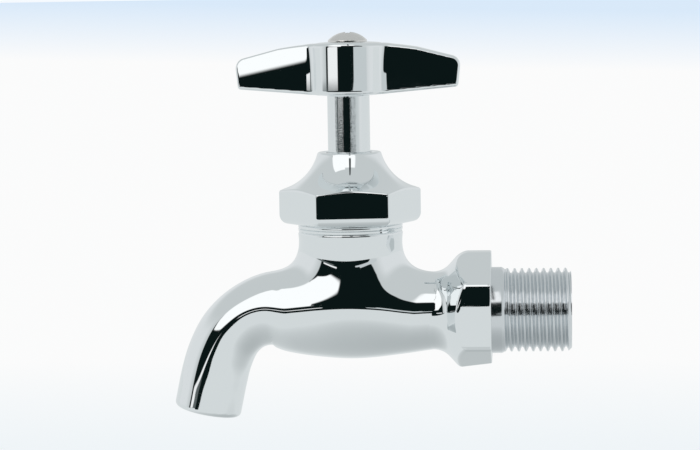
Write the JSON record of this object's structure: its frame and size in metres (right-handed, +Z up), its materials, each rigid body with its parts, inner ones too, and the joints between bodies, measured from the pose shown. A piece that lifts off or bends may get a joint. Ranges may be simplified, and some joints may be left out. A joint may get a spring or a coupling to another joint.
{
  "type": "bib tap",
  "caption": "Wall-mounted bib tap: threaded inlet, screw-down valve with two-wing handle, hexagon cap nut and a curved spout.",
  "frame": {"origin": "on the inlet's axis, where the collar ends and the pipe thread starts", "axes": "+X along the inlet, out of the tap into the wall; +Z up along the valve's axis; -Y towards the viewer of the picture"},
  "size_m": [0.1004, 0.0328, 0.0971],
  "materials": {
    "chrome_body": "polished chrome plate over cast brass",
    "chrome_trim": "polished chrome plate",
    "chrome_nut": "polished chrome plate",
    "chrome_handle": "polished chrome plate over a casting",
    "plated_spindle": "turned brass, thinly plated",
    "nickel_screw": "nickel plated, slightly dull",
    "brass": "turned",
    "black_rubber": "moulded"
  },
  "bodies": {
    "tap": {"body": "chrome_body", "neck_ring": "chrome_trim", "packing_washer": "brass", "gland_packing": "black_rubber", "cap_nut": "chrome_nut"},
    "valve_disc": {"jumper": "brass", "jumper_washer": "black_rubber", "jumper_nut": "brass"},
    "spindle_and_handle": {"spindle": "plated_spindle", "handle": "chrome_handle", "handle_screw": "nickel_screw"}
  },
  "joints": [
    {"name": "valve_lift", "type": "slide", "parent": "tap", "child": "valve_disc", "axis": [0, 0, 1], "range_m": [0, 0.00501]},
    {"name": "handle_turn", "type": "hinge", "parent": "valve_disc", "child": "spindle_and_handle", "pos_m": [-0.0384, 0, 0.061], "axis": [0, 0, 1], "range_deg": [0, 720]}
  ],
  "couplings": [
    {"joint": "valve_lift", "follows": "handle_turn", "m_per_rad": 0.00039789}
  ]
}
